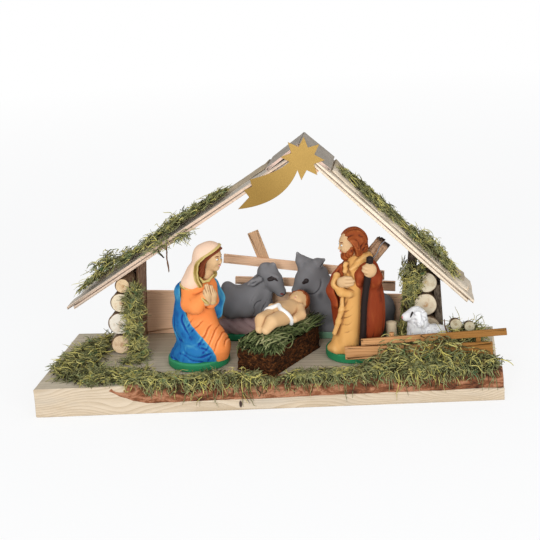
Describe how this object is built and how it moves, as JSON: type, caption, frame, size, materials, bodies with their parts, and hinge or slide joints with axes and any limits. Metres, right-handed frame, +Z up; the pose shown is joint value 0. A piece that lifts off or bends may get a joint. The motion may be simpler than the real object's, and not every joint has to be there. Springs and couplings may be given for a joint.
{
  "type": "wooden nativity stable",
  "caption": "Tabletop nativity stable on a live-edged plank, with log walls, a board roof, a comet star, moss, a manger and painted figures.",
  "frame": {"origin": "middle of the plank's underside", "axes": "+X to the right along the plank as seen from the front, +Y to the back, +Z up"},
  "size_m": [0.3828, 0.1307, 0.2116],
  "materials": {
    "spruce_plank": "sawn and weathered",
    "roof_wood": "sawn",
    "grey_wood": "weathered",
    "red_wood": "sawn",
    "log_wood": "sawn ends, thin bark",
    "bark": "rough",
    "moss": "dry, curly",
    "hay": "dry",
    "manger_bark": "rough",
    "gold_sheet": "brushed",
    "twig": "matte",
    "infant_paint": "matte paint",
    "mary_paint": "satin paint",
    "joseph_paint": "satin paint",
    "dark_wood": "satin",
    "stick_wood": "dry",
    "grey_paint": "matte paint",
    "white_paint": "matte paint"
  },
  "bodies": {
    "root": {"base_plank": "spruce_plank", "bark_edge": "bark", "back_board": "red_wood", "back_rail_mid": "red_wood", "back_rail_top": "red_wood", "back_diagonal_slat": "red_wood", "back_upright_slat": "red_wood", "left_inner_slab": "bark", "left_log_1": "log_wood", "left_log_2": "log_wood", "left_log_3": "log_wood", "left_log_4": "log_wood", "right_inner_slab": "bark", "right_outer_slab": "bark", "right_log_1": "log_wood", "right_log_2": "log_wood", "right_log_3": "log_wood", "right_bark_wedge": "bark", "ridge_batten": "red_wood", "left_roof_lower_board": "roof_wood", "left_roof_upper_front_board": "roof_wood", "left_roof_upper_back_board": "grey_wood", "left_roof_bark_slab": "bark", "right_roof_lower_board": "roof_wood", "right_roof_upper_board": "roof_wood", "right_roof_strip": "grey_wood", "right_roof_bark_slab": "bark", "ridge_cap_left": "grey_wood", "ridge_cap_right": "grey_wood", "comet_star": "gold_sheet", "fence_rail_lower": "red_wood", "fence_rail_upper": "red_wood", "fence_stakes": "bark", "round_post": "log_wood", "small_log_1": "log_wood", "small_log_2": "log_wood", "small_twig": "twig", "manger": "manger_bark", "manger_hay": "hay", "infant": "infant_paint", "mary": "mary_paint", "joseph": "joseph_paint", "joseph_staff": "dark_wood", "joseph_wood_bundle": "stick_wood", "ox": "grey_paint", "donkey": "grey_paint", "lamb": "white_paint", "moss_left_roof": "moss", "moss_right_roof": "moss", "moss_left_wall": "moss", "moss_right_wall": "moss", "moss_base_left": "moss", "moss_front": "moss", "moss_fence": "moss"}
  },
  "joints": []
}
